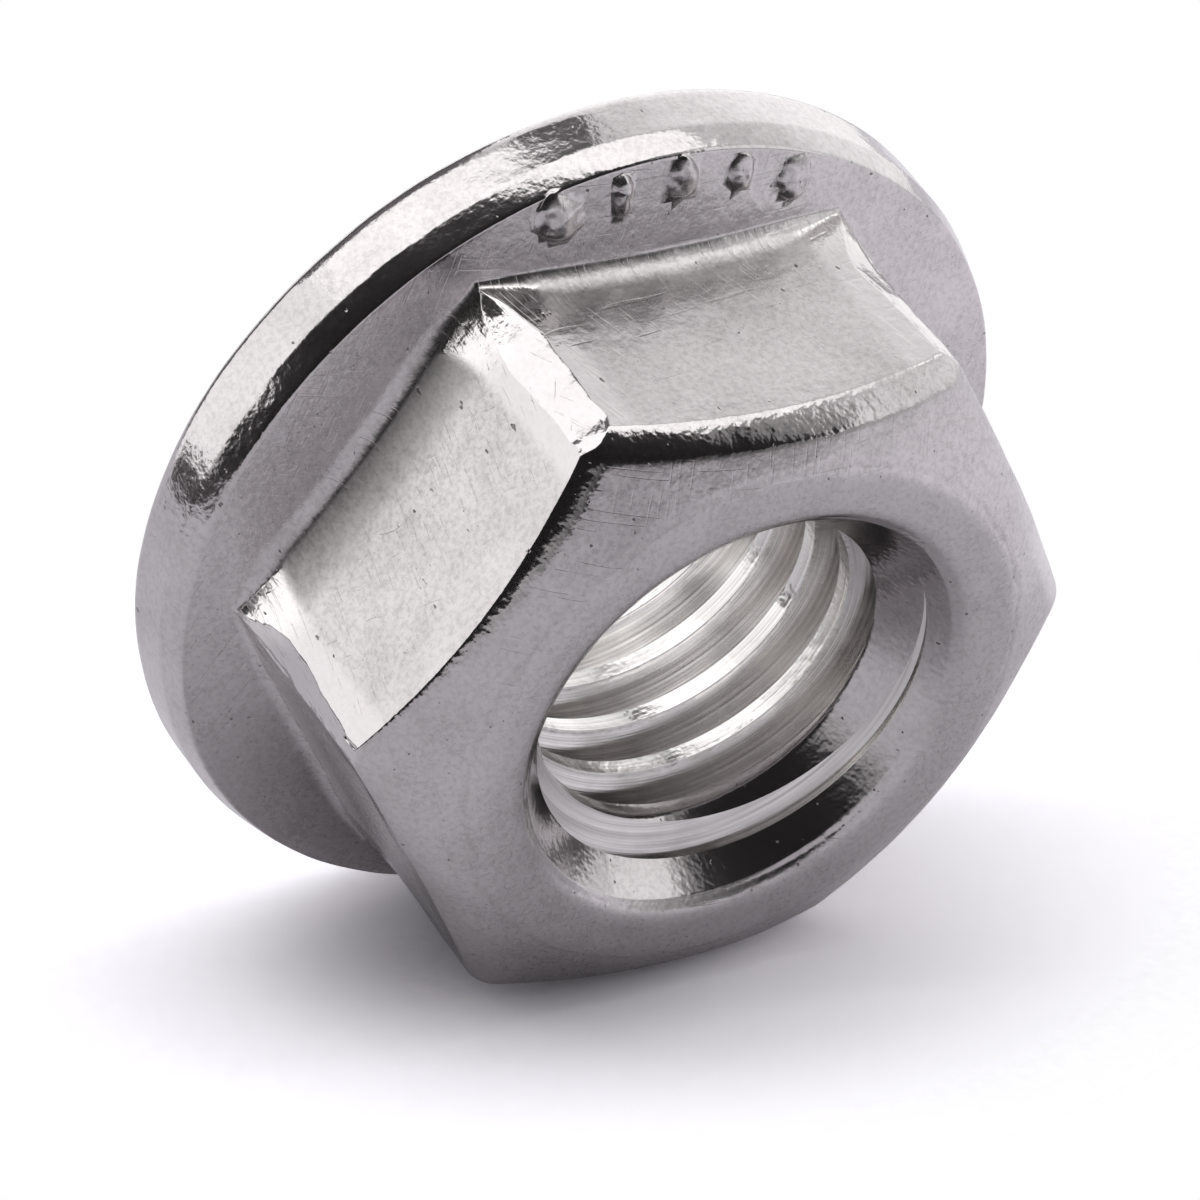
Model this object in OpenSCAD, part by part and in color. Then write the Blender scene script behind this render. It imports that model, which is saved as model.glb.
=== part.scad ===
// Hex flange nut: a hexagon with a built-on washer flange, cold forged in one piece.
// The origin is the centre of the bearing face and +Z runs along the thread axis,
// towards the crown. One corner of the hexagon points along +X.
// The bore is plain, at the minor diameter that is drilled before the thread is cut.

/* [Hexagon] */
// Width across the flats, which is the spanner size
across_flats = 13; // [12.4:0.1:13.8]
// Overall height, from the bearing face to the crown face
height = 7.7; // [7:0.1:10]
// Radius of the hollow where each flat runs out into the flange
flare_r = 0.6; // [0.3:0.05:0.9]
// Angle that the hollow has turned through where it meets the cone, at the corners
flare_angle = 50; // [30:1:60]
// How far the corners stay short of a sharp edge at the crown, where the metal didn't fill the die
corner_gap_top = 0.15; // [0.05:0.05:0.5]
// The same shortfall lower down, where the blunt part of a corner starts
corner_gap_root = 0.2; // [0.05:0.05:0.4]
// Height over which a corner goes from sharp, above the hollow, to blunt
corner_fill_h = 0.7; // [0.3:0.1:2]

/* [Crown] */
// Angle of the chamfer round the crown, from the crown face
chamfer_angle = 30; // [22:1:38]
// Diameter at which the chamfer would meet the crown face if its edge weren't soft
chamfer_start_d = 11; // [10.6:0.1:11.6]
// Radius of that soft edge
chamfer_edge_r = 1.2; // [0.4:0.1:1.4]

/* [Flange] */
// Outer diameter of the flange
flange_d = 17.2; // [16.6:0.1:19]
// Height of the crease between the cone and the rolled rim
rim_h = 1.85; // [1.5:0.05:2.2]
// How far the crease lies inside the flange's outer diameter
rim_inset = 0.16; // [0.1:0.02:0.4]
// Height of the upright band round the rim, above the rounded lower edge
rim_band = 0.95; // [0.6:0.05:1]
// Radius of the lower edge, beside the bearing face
rim_edge_r = 0.35; // [0.15:0.05:0.5]
// Slope of the upper side of the flange
cone_angle = 15; // [12:1:22]

/* [Bore] */
// Minor diameter of the thread
bore_d = 6.8; // [6.6:0.05:7.2]
// Diameter of the countersink's mouth at the crown
crown_sink_d = 9.1; // [8.4:0.1:9.4]
// Full angle of the countersink at the crown
crown_sink_angle = 75; // [60:5:100]
// Radius of the soft edge round that mouth
crown_lip_r = 0.35; // [0.1:0.05:0.6]
// Diameter of the countersink's mouth at the bearing face
base_sink_d = 8.8; // [8.2:0.1:9.6]
// Full angle of the countersink at the bearing face
base_sink_angle = 90; // [70:5:110]

/* [Hidden] */
$fn = 180;
cut = 1;                                   // how far a cutting shape runs past what it cuts
flange_r = flange_d / 2;
half_flats = across_flats / 2;
corner_r = half_flats / cos(30);
bore_r = bore_d / 2;
crown_sink_r = crown_sink_d / 2;
base_sink_r = base_sink_d / 2;
crown_sink_depth = (crown_sink_r - bore_r) / tan(crown_sink_angle / 2);
base_sink_depth = (base_sink_r - bore_r) / tan(base_sink_angle / 2);

// rim: an upright band, then an arc that leans in to the crease
crease_r = flange_r - rim_inset;
band_top = rim_edge_r + rim_band;
crease_rise = rim_h - band_top;
rim_r = (rim_inset * rim_inset + crease_rise * crease_rise) / (2 * rim_inset);

// cone: its height at a radius
function cone_z(r) = rim_h + (crease_r - r) * tan(cone_angle);

// hollow: the arc starts upright on the flat, reaches the cone and ends a little below its surface
flare_x = half_flats + flare_r;
flare_tip_r = (flare_x - flare_r * cos(flare_angle)) / cos(30);
flare_z = cone_z(flare_tip_r) + flare_r * sin(flare_angle);
flare_end_x = flare_x - flare_r * cos(flare_angle + 12);

// crown: a level face, an arc and the chamfer, which runs down to the blunt corners
function chamfer_z(r) = height - (r - chamfer_start_d / 2) * tan(chamfer_angle);
crown_face_r = chamfer_start_d / 2 - chamfer_edge_r * tan(chamfer_angle / 2);
chamfer_edge_x = crown_face_r + chamfer_edge_r * sin(chamfer_angle);
crown_corner_r = corner_r - corner_gap_top;
crown_corner_z = chamfer_z(crown_corner_r);

// blunt corners: they start just above the hollow, where the corners are still sharp
sharp_r = corner_r + 0.02;
blunt_r = corner_r - corner_gap_root;
blunt_z = flare_z + corner_fill_h;
blunt_taper = (blunt_r - crown_corner_r) / (crown_corner_z - blunt_z);
blunt_top_r = crown_corner_r - blunt_taper * (height + cut - crown_corner_z);

// Half section of the flange, from the axis out to the rim and up the cone
module flange_section() {
    polygon([[0, 0], [flange_r - rim_edge_r, 0], [flange_r - rim_edge_r, rim_edge_r],
             [flange_r, rim_edge_r], [flange_r, band_top], [crease_r, rim_h], [0, cone_z(0)]]);
    translate([flange_r - rim_edge_r, rim_edge_r]) circle(rim_edge_r);
    intersection() {
        translate([flange_r - rim_r, band_top]) circle(rim_r);
        translate([0, band_top]) square([flange_r, crease_rise]);
    }
}

// Outline across two flats, with the hollows that run out into the flange
module flats_outline() {
    difference() {
        polygon([[-flare_end_x, band_top], [flare_end_x, band_top], [flare_end_x, flare_z],
                 [half_flats, flare_z], [half_flats, height], [-half_flats, height],
                 [-half_flats, flare_z], [-flare_end_x, flare_z]]);
        for (side = [-1, 1]) translate([side * flare_x, flare_z]) circle(flare_r);
    }
}

// Hexagon whose six sides flare into the flange: three outlines crossed at 60 degrees
module hex_form() {
    intersection_for(turn = [30, 90, 150])
        rotate([0, 0, turn]) rotate([90, 0, 0])
            linear_extrude(2 * flange_d, center = true) flats_outline();
}

// Round envelope of the hexagon: the chamfered crown and the blunt, tapering corners
module blank_section() {
    intersection() {
        polygon([[0, 0], [flange_r, 0], [flange_r, flare_z], [sharp_r, flare_z],
                 [blunt_r, blunt_z], [blunt_top_r, height + cut], [0, height + cut]]);
        union() {
            polygon([[0, 0], [flange_r, 0], [flange_r, chamfer_z(flange_r)],
                     [chamfer_edge_x, chamfer_z(chamfer_edge_x)], [crown_face_r, height], [0, height]]);
            translate([crown_face_r, height - chamfer_edge_r]) circle(chamfer_edge_r);
        }
    }
}

// Bore with its two countersinks, and the rounded lip round the crown's mouth
module bore_section() {
    lip_run = crown_lip_r * tan(45 - crown_sink_angle / 4);
    lip_x = crown_sink_r + lip_run;
    lip_drop = lip_run * cos(crown_sink_angle / 2);
    lip_back = lip_run * sin(crown_sink_angle / 2);
    translate([0, -cut]) square([bore_r, height + 2 * cut]);
    polygon([[0, 0], [base_sink_r, 0], [bore_r, base_sink_depth], [0, base_sink_depth]]);
    translate([0, -cut]) square([base_sink_r, cut]);
    polygon([[0, height - crown_sink_depth], [bore_r, height - crown_sink_depth],
             [crown_sink_r, height], [0, height]]);
    difference() {
        polygon([[0, height], [crown_sink_r - lip_back, height - lip_drop],
                 [lip_x, height - lip_drop], [lip_x, height + cut], [0, height + cut]]);
        translate([lip_x, height - crown_lip_r]) circle(crown_lip_r);
    }
}

module flange_nut() {
    color([0.66, 0.65, 0.65])
        difference() {
            union() {
                rotate_extrude() flange_section();
                intersection() {
                    hex_form();
                    rotate_extrude() blank_section();
                }
            }
            rotate_extrude() bore_section();
        }
}

flange_nut();
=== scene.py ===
# Looks of a cold-forged stainless hex flange nut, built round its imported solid.
import math

import bmesh
import bpy
import numpy as np
from mathutils import Matrix, Vector, noise


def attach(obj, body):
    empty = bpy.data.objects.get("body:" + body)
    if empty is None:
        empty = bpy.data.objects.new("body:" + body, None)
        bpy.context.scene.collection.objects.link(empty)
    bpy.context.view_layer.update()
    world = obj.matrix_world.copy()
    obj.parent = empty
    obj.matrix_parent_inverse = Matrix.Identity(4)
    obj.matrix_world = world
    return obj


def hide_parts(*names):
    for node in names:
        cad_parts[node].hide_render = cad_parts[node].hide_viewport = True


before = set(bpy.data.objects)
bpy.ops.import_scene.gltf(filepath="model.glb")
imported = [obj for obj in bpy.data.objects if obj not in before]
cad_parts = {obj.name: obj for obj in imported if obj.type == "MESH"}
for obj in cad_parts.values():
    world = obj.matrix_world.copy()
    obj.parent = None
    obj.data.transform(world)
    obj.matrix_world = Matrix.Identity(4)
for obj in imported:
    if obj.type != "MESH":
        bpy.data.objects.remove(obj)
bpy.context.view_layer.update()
mm = 0.001
print("frame loaded")


def toLinear(hexText):                       # sRGB hex to a linear RGBA
    parts = [int(hexText[i:i + 2], 16) / 255 for i in (1, 3, 5)]
    return tuple(p / 12.92 if p < 0.04045 else ((p + 0.055) / 1.055) ** 2.4 for p in parts) + (1.0,)


# adds a node with its settings and links, and gives the node, or the output that is named
def addNode(tree, kind, settings=None, inputs=None, output=None):
    node = tree.nodes.new(kind)
    for name, value in (settings or {}).items():
        setattr(node, name, value)
    for name, value in (inputs or {}).items():
        socket = node.inputs[name]
        if isinstance(value, bpy.types.NodeSocket):
            tree.links.new(value, socket)
        else:
            socket.default_value = value
    return node if output is None else node.outputs[output]


def addObject(name, data):
    piece = bpy.data.objects.new(name, data)
    bpy.context.scene.collection.objects.link(piece)
    return piece


# the forged body: rows run round the closed half section, columns run round the axis
nutBody = {                                  # mm and degrees, the same driving sizes as the solid
    "halfFlats": 6.5, "height": 7.7,
    "flangeR": 8.6, "rimInset": 0.16, "rimH": 1.85, "bandTop": 1.22, "lowEdgeR": 0.35,
    "rimLean": 14, "rimTurnR": 0.5,          # the rolled rim's lean, and the radius that turns it upright
    "coneAngle": 15,
    "flareR": (0.34, 0.38, 0.4, 0.4, 0.4, 0.85), "cornerFlareR": 0.18,     # the hollow at each flat's foot
    "flareAngle": (46, 45, 45, 45, 45, 34), "cornerFlareAngle": 42,
    "chamferAngle": 30, "chamferStartR": 5.5, "chamferEdgeR": 1.2,
    "boreR": 3.4, "crownSinkR": 4.55, "crownSinkAngle": 75, "lipR": 0.6,
    "baseSinkR": 4.4, "baseSinkAngle": 90,
    "dish": (0.18, 0.12, 0.08, 0.08, 0.08, 0.02), "cornerDish": 0.05,   # how far each flat swells at its foot
    "dishTop": (4.1, 4.2, 4.2, 4.2, 4.2, 3.4), "cornerDishTop": 4.0, "dishFoot": 2.3,   # and from where down
    "cornerBlend": 0.2,                      # share of a flat's width in which it goes over to its corner
    "waves": ((0.55, 0.03, 21), (1.6, 0.012, 22)),   # unevenness of the forging: features per mm, depth, seed
    "seamDepth": 0.022, "seamFrom": 2.4, "seamRise": 0.4,      # folded metal along both edges of each corner
    "seamEven": 0.6, "seamTorn": ((1.1, 1.6, 31), (4.5, 1.4, 32)), "seamMost": 2.2,   # per mm, gain, seed
    "flatSteps": 56, "bandSteps": 8,         # columns on each flat and each blunt corner
    "rows": {"bearing": 14, "lowEdge": 8, "rimBand": 8, "rimTurn": 7, "rimLean": 8, "cone": 16, "flare": 8,
             "flat": 44, "chamfer": 26, "crown": 4, "lip": 8, "sink": 16, "bore": 6, "baseSink": 8},
    "tumbled": 3, "tumbledShare": 0.5,       # how often all edges are softened, and by how much each time
}
cornerGap = {                                # mm that a flat's edge stays back from the sharp corner
    "heights": (2.2, 2.8, 3.5, 4.3, 5.3, 6.4, 7.2),
    "plain": (0.03, 0.24, 0.45, 0.40, 0.30, 0.24, 0.24), "least": 0.02,
    "crownGain": (1.7, 0.75, 1.2, 1.0, 1.3, 0.7),        # how wide each corner is left at the crown
    "gainBetween": (3.5, 6.4),               # the heights over which it gets that wide
    "ragged": 0.075, "raggedScale": 2.2, "raggedFrom": 2.3, "raggedRise": 0.6, "seed": 11,
    "apart": (3.1, 5.7),                     # steps in the noise from corner to corner and side to side
}
edgeRoll = {                                 # mm: how the die rolled the crown over the top of each flat
    "width": (0.42, 0.50, 0.36, 0.55, 0.45, 0.37),
    "drop": (0.36, 0.32, 0.30, 0.38, 0.32, 0.42),
    "blunt": (1.7, 1.7, 1.7, 1.7, 1.7, 1.4),   # 2 is round, less is nearer to a bevel
    "cropped": (0.040, 0.02, 0.05, 0.015, 0.03, 0.004),   # the flat is cut this far into the roll
    "cornerWidth": 0.3, "cornerDrop": 0.2, "cornerCropped": 0.03, "cornerAt": 6.5,
}


def noiseAt(points, scale, seed):            # smooth noise, scale in features per mm
    shift = Vector((seed * 7.31, seed * 3.17, seed * 1.73))
    spots = points.reshape(-1, 3)
    return np.array([noise.noise(Vector(p) * scale + shift) for p in spots]).reshape(points.shape[:-1])


def eased(steps, ends=0.75):                 # 0 to just under 1, finer towards both ends
    t = np.arange(steps) / steps
    return t - ends * np.sin(2 * np.pi * t) / (2 * np.pi)


def gapAt(corner, side, z):                  # side -1 is the flat before the corner, 1 the flat after
    g = cornerGap
    plain = np.interp(z, g["heights"], g["plain"])
    gain = np.interp(z, g["gainBetween"], (1.0, g["crownGain"][corner % 6]))
    cornerStep, sideStep = g["apart"]
    where = np.stack([np.full_like(z, corner % 6 * cornerStep), np.full_like(z, side * sideStep), z], axis=-1)
    scale, seed = g["raggedScale"], g["seed"]
    rough = noiseAt(where, scale, seed) + 0.5 * noiseAt(where, 3 * scale, seed + 1)
    ragged = g["ragged"] * rough * np.clip((z - g["raggedFrom"]) / g["raggedRise"], 0, 1)
    return np.maximum(plain * gain + ragged, g["least"])


def buildBodyMesh(size):
    tan30 = math.tan(math.pi / 6)
    half = size["halfFlats"]
    creaseR = size["flangeR"] - size["rimInset"]
    slope = math.tan(math.radians(size["coneAngle"]))
    coneZ = lambda r: size["rimH"] + (creaseR - r) * slope
    chamfer = math.radians(size["chamferAngle"])
    softR, startR = size["chamferEdgeR"], size["chamferStartR"]
    levelR = startR - softR * math.tan(chamfer / 2)      # the crown face is level out to here
    slopeR = levelR + softR * math.sin(chamfer)          # and the chamfer is straight from here

    def crownZ(r):                           # level face, soft edge, chamfer
        arc = np.sqrt(softR ** 2 - np.clip(r - levelR, 0, slopeR - levelR) ** 2) - softR
        return size["height"] + np.where(r > slopeR, -(r - startR) * math.tan(chamfer), arc)

    def rollAt(plan):                        # how far the crown's edge is rolled down at a plan position
        total = np.zeros(len(plan))
        for k in range(6):
            turn = math.radians(60 * k + 30)
            width, drop, blunt, cropped = (edgeRoll[key][k] for key in ("width", "drop", "blunt", "cropped"))
            inward = half - plan @ (math.cos(turn), math.sin(turn)) + cropped
            near = np.clip(1 - inward / width, 0, 1)
            total += (drop * (1 - (1 - near ** blunt) ** (1 / blunt))) ** 3
            turn = math.radians(60 * k)
            reach = half / math.cos(math.pi / 6) - 0.5 * gapAt(k, 1, np.full(1, edgeRoll["cornerAt"]))[0]
            inward = reach - plan @ (math.cos(turn), math.sin(turn)) + edgeRoll["cornerCropped"]
            near = np.clip(1 - inward / edgeRoll["cornerWidth"], 0, 1)
            total += (edgeRoll["cornerDrop"] * (1 - np.sqrt(1 - near ** 2))) ** 3
        return np.cbrt(total)                # a sum of cubes lets neighbouring rolls run into each other

    nBand, nFlat = size["bandSteps"], size["flatSteps"]
    sector = np.repeat(np.arange(6), nBand + nFlat)
    across = np.tile(np.concatenate([np.arange(nBand) / nBand, eased(nFlat)]), 6)
    onBand = np.tile(np.arange(nBand + nFlat) < nBand, 6)

    def flatEdge(flat, side, x, z):          # the point where a flat ends, beside the corner
        corner = flat if side < 0 else flat + 1
        turn = math.radians(60 * flat + 30)
        reach = side * (x * tan30 - gapAt(corner, -side, z))
        return np.stack([x * math.cos(turn) - reach * math.sin(turn),
                         x * math.sin(turn) + reach * math.cos(turn)], axis=-1)

    inFlat = np.clip(np.minimum(across, 1 - across) / size["cornerBlend"], 0, 1) * ~onBand
    inFlat = inFlat ** 2 * (3 - 2 * inFlat)

    def alongFlats(corners, flats):          # a value for every column, from the corners' and each flat's own
        return corners + (np.array(flats)[sector] - corners) * inFlat

    flareR = alongFlats(size["cornerFlareR"], size["flareR"])
    dish = alongFlats(size["cornerDish"], size["dish"])
    dishTop = alongFlats(size["cornerDishTop"], size["dishTop"])
    flareAngle = np.radians(alongFlats(size["cornerFlareAngle"], size["flareAngle"]))
    flareX = half + flareR
    reach = np.sqrt(1 + (tan30 * np.where(onBand, 1, 2 * across - 1)) ** 2)   # how far out, against mid flat
    flareZ = coneZ((flareX - flareR * np.cos(flareAngle)) * reach) + flareR * np.sin(flareAngle)

    def swell(z):                            # a flat is a little dished: it stands out at its foot
        share = np.clip((dishTop - z) / (dishTop - size["dishFoot"]), 0, 1)
        return dish * share ** 2

    def hexPoint(x, z):                      # plan position of every column, x out from the axis, at height z
        plan = np.zeros((len(sector), 2))
        for k in range(6):
            band = onBand & (sector == k)
            flat = ~onBand & (sector == k)
            a, b = flatEdge(k - 1, 1, x[band], z[band]), flatEdge(k, -1, x[band], z[band])
            plan[band] = a + (b - a) * across[band][:, None]
            a, b = flatEdge(k, -1, x[flat], z[flat]), flatEdge(k, 1, x[flat], z[flat])
            plan[flat] = a + (b - a) * across[flat][:, None]
        return plan

    def flare(turn):                         # the hollow at the foot of a flat
        return flareX - flareR * np.cos(turn), flareZ - flareR * np.sin(turn)

    low, high = np.zeros(len(sector)), np.full(len(sector), math.radians(75))
    for _ in range(30):                      # halving finds where the hollow meets the cone
        mid = (low + high) / 2
        x, z = flare(mid)
        x = x + swell(z)
        above = z > coneZ(np.linalg.norm(hexPoint(x, z), axis=1))
        low, high = np.where(above, mid, low), np.where(above, high, mid)
    rootTurn = low
    x, z = flare(rootTurn)
    rootPlan = hexPoint(x + swell(z), z)
    flats = np.full(len(sector), half)
    chamferZ = np.full(len(sector), 6.6)     # a first guess
    for _ in range(8):                       # where the flats meet the rolled edge of the crown
        chamferPlan = hexPoint(flats, chamferZ)
        chamferZ = crownZ(np.linalg.norm(chamferPlan, axis=1)) - rollAt(chamferPlan)
    turnAt = lambda plan: np.unwrap(np.arctan2(plan[:, 1], plan[:, 0]))
    roundTurn, rootTurnXY = turnAt(chamferPlan), turnAt(rootPlan)
    rootR, chamferR = np.linalg.norm(rootPlan, axis=1), np.linalg.norm(chamferPlan, axis=1)

    rows, group, count = [], [], size["rows"]

    def addRing(name, r, z, turn=roundTurn):
        r, z = np.broadcast_to(r, turn.shape), np.broadcast_to(z, turn.shape)
        rows.append(np.stack([r * np.cos(turn), r * np.sin(turn), z], axis=-1))
        group.append(name)

    def addLine(name, start, end, ends=0.75):
        for t in eased(count[name], ends):
            addRing(name, start[0] + (end[0] - start[0]) * t, start[1] + (end[1] - start[1]) * t)

    def addArc(name, centre, radius, fromTurn, toTurn):
        for t in eased(count[name], 0):
            a = fromTurn + (toTurn - fromTurn) * t
            addRing(name, centre[0] + radius * math.cos(a), centre[1] + radius * math.sin(a))

    def addHexRing(name, x, z):
        rows.append(np.column_stack([hexPoint(x + swell(z), z), z]))
        group.append(name)

    edge, bandTop, flangeR, height = size["lowEdgeR"], size["bandTop"], size["flangeR"], size["height"]
    lean = math.radians(size["rimLean"])
    turned = (flangeR - size["rimTurnR"] * (1 - math.cos(lean)), bandTop + size["rimTurnR"] * math.sin(lean))
    run, rise = turned[0] - creaseR, size["rimH"] - turned[1]
    leanEnd = 2 * math.atan2(run, rise) - lean
    leanR = rise / (math.sin(leanEnd) - math.sin(lean))
    leanCentre = (turned[0] - leanR * math.cos(lean), turned[1] - leanR * math.sin(lean))
    sinkHalf = math.radians(size["crownSinkAngle"] / 2)
    lipRun = size["lipR"] * math.tan(math.pi / 4 - sinkHalf / 2)
    lipX = size["crownSinkR"] + lipRun
    lipEnd = (size["crownSinkR"] - lipRun * math.sin(sinkHalf), height - lipRun * math.cos(sinkHalf))
    boreR = size["boreR"]
    sinkEnd = (boreR, height - (size["crownSinkR"] - boreR) / math.tan(sinkHalf))
    baseEnd = (boreR, (size["baseSinkR"] - boreR) / math.tan(math.radians(size["baseSinkAngle"] / 2)))

    addLine("bearing", (size["baseSinkR"], 0), (flangeR - edge, 0))
    addArc("lowEdge", (flangeR - edge, edge), edge, -math.pi / 2, 0)
    addLine("rimBand", (flangeR, edge), (flangeR, bandTop), 0.4)
    addArc("rimTurn", (flangeR - size["rimTurnR"], bandTop), size["rimTurnR"], 0, lean)
    addArc("rimLean", leanCentre, leanR, lean, leanEnd)
    for t in eased(count["cone"]):
        r = creaseR + (rootR - creaseR) * t
        addRing("cone", r, coneZ(r), roundTurn + (rootTurnXY - roundTurn) * t)
    for t in eased(count["flare"], 0):
        addHexRing("flare", *flare(rootTurn * (1 - t)))
    for t in eased(count["flat"]):
        addHexRing("flat", flats, flareZ + (chamferZ - flareZ) * t)
    for t in (np.arange(count["chamfer"]) / count["chamfer"]) ** 1.7:      # finer towards the rolled edge
        r = chamferR + (levelR - chamferR) * t
        plan = np.stack([r * np.cos(roundTurn), r * np.sin(roundTurn)], axis=-1)
        addRing("chamfer", r, crownZ(r) - rollAt(plan))
    addLine("crown", (levelR, height), (lipX, height), 0)
    addArc("lip", (lipX, height - size["lipR"]), size["lipR"], math.pi / 2, math.pi - sinkHalf)
    addLine("sink", lipEnd, sinkEnd)
    addLine("bore", sinkEnd, baseEnd, 0)
    addLine("baseSink", baseEnd, (size["baseSinkR"], 0))

    grid = np.array(rows)
    for _ in range(size["tumbled"]):
        mean = (np.roll(grid, 1, 0) + np.roll(grid, -1, 0) + np.roll(grid, 1, 1) + np.roll(grid, -1, 1)) / 4
        grid = grid + size["tumbledShare"] * (mean - grid)

    inner = np.array([name in ("bore", "sink", "baseSink", "bearing") for name in group])
    along = np.roll(grid, -1, 1) - np.roll(grid, 1, 1)
    up = np.roll(grid, -1, 0) - np.roll(grid, 1, 0)
    outward = np.cross(along, up)
    outward /= np.maximum(np.linalg.norm(outward, axis=-1, keepdims=True), 1e-9)
    depth = sum(wave * (0.5 + 0.5 * noiseAt(grid, scale, seed)) for scale, wave, seed in size["waves"])
    onSeam = np.isin(group, ("flat",))[:, None] & (onBand != np.roll(onBand, 1))[None]
    onSeam = onSeam * np.clip((grid[..., 2] - size["seamFrom"]) / size["seamRise"], 0, 1)
    torn = size["seamEven"]
    for scale, gain, seed in size["seamTorn"]:
        torn = torn + gain * noiseAt(grid, scale, seed)
    depth = depth * ~inner[:, None] + size["seamDepth"] * onSeam * np.clip(torn, 0, size["seamMost"])
    grid = grid - outward * depth[..., None]

    nRow, nCol = grid.shape[:2]
    index = np.arange(nRow * nCol).reshape(nRow, nCol)
    below, right = np.roll(index, -1, 0), np.roll(index, -1, 1)
    faces = np.stack([index, right, np.roll(below, -1, 1), below], axis=-1).reshape(-1, 4)
    mesh = bpy.data.meshes.new("flange_nut_body")
    mesh.from_pydata((grid.reshape(-1, 3) * mm).tolist(), [], faces.tolist())
    mesh.polygons.foreach_set("use_smooth", [True] * len(mesh.polygons))
    mesh.polygons.foreach_set("material_index", np.repeat(np.array(group) == "bore", nCol).astype(np.int32))
    mesh.update()
    return mesh


# the thread: a trapezoid swept along a spiral, which is cut out of the bore
thread = {                                   # mm and degrees
    "pitch": 1.25, "rootR": 4.07, "insideR": 3.2,
    "rootFlat": 0.13, "flankAngle": 30,
    "from": -1.0, "to": 8.8, "pointsPerTurn": 144, "startTurn": 78.6,
    "sharpFrom": 0.3,                        # radians between two faces past which the tap left a sharp edge
}


def newTree(name, inputs):                   # a geometry tree with named inputs, and those inputs' sockets
    tree = bpy.data.node_groups.new(name, "GeometryNodeTree")
    tree.interface.new_socket("Geometry", in_out="OUTPUT", socket_type="NodeSocketGeometry")
    for label, kind in inputs.items():
        tree.interface.new_socket(label, in_out="INPUT", socket_type="NodeSocket" + kind)
    return tree, addNode(tree, "NodeGroupInput").outputs


def threadTree():
    tree, given = newTree("threadGroove", {
        "Turns": "Float", "Length": "Float", "Start Height": "Float", "Start Turn": "Float",
        "Middle Radius": "Float", "Groove Depth": "Float", "Mouth Width": "Float", "Root Width": "Float",
        "Points Per Turn": "Int", "Material": "Material"})
    spiral = addNode(tree, "GeometryNodeCurveSpiral", None, {
        "Resolution": given["Points Per Turn"], "Rotations": given["Turns"], "Height": given["Length"],
        "Start Radius": given["Middle Radius"], "End Radius": given["Middle Radius"],
        "Reverse": True}, "Curve")
    upright = addNode(tree, "GeometryNodeSetCurveNormal", {"mode": "Z_UP"}, {"Curve": spiral}, "Curve")
    profile = addNode(tree, "GeometryNodeCurvePrimitiveQuadrilateral", {"mode": "TRAPEZOID"}, {
        "Bottom Width": given["Mouth Width"], "Top Width": given["Root Width"], "Offset": 0.0,
        "Height": given["Groove Depth"]}, "Curve")
    turned = addNode(tree, "GeometryNodeTransform", None, {
        "Geometry": profile, "Rotation": (0, 0, math.radians(-90))}, "Geometry")
    swept = addNode(tree, "GeometryNodeCurveToMesh", None, {
        "Curve": upright, "Profile Curve": turned, "Fill Caps": True}, "Mesh")
    rise = addNode(tree, "ShaderNodeCombineXYZ", None, {"Z": given["Start Height"]}, "Vector")
    spin = addNode(tree, "ShaderNodeCombineXYZ", None, {"Z": given["Start Turn"]}, "Vector")
    placed = addNode(tree, "GeometryNodeTransform", None, {
        "Geometry": swept, "Translation": rise, "Rotation": spin}, "Geometry")
    real = addNode(tree, "GeometryNodeRealizeInstances", None, {"Geometry": placed}, "Geometry")
    finish = addNode(tree, "GeometryNodeSetMaterial", None, {
        "Geometry": real, "Material": given["Material"]}, "Geometry")
    addNode(tree, "NodeGroupOutput", None, {"Geometry": finish})
    return tree


def meshFromTree(name, tree, values):        # runs a tree and keeps the result as a plain mesh
    holder = addObject(name, bpy.data.meshes.new(name))
    modifier = holder.modifiers.new(name, "NODES")
    modifier.node_group = tree
    for socket in tree.interface.items_tree:
        if socket.name in values:
            modifier[socket.identifier] = values[socket.name]
    result = bpy.data.meshes.new_from_object(holder.evaluated_get(bpy.context.evaluated_depsgraph_get()))
    bpy.data.objects.remove(holder)
    return result


def grooveMesh(size, material):
    flank = math.tan(math.radians(size["flankAngle"]))
    depth = size["rootR"] - size["insideR"]
    return meshFromTree("thread_groove", threadTree(), {
        "Turns": (size["to"] - size["from"]) / size["pitch"], "Length": (size["to"] - size["from"]) * mm,
        "Start Height": size["from"] * mm, "Start Turn": math.radians(size["startTurn"]),
        "Middle Radius": (size["rootR"] + size["insideR"]) / 2 * mm, "Groove Depth": depth * mm,
        "Mouth Width": (size["rootFlat"] + 2 * flank * depth) * mm, "Root Width": size["rootFlat"] * mm,
        "Points Per Turn": size["pointsPerTurn"], "Material": material})


# plain raised marks on the flange, pressed with the die
flangeMarks = {                              # mm and degrees
    "count": 5, "middleR": 7.93, "from": -50, "sweep": 36, "height": 0.1, "sunk": 0.07,
    "dentsPerMm": 1.5, "dentDepth": 0.3,
    "narrowest": (0.4, 0.2), "widest": (0.5, 0.62), "seed": 9,   # half sizes across and along the rim
}


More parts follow.
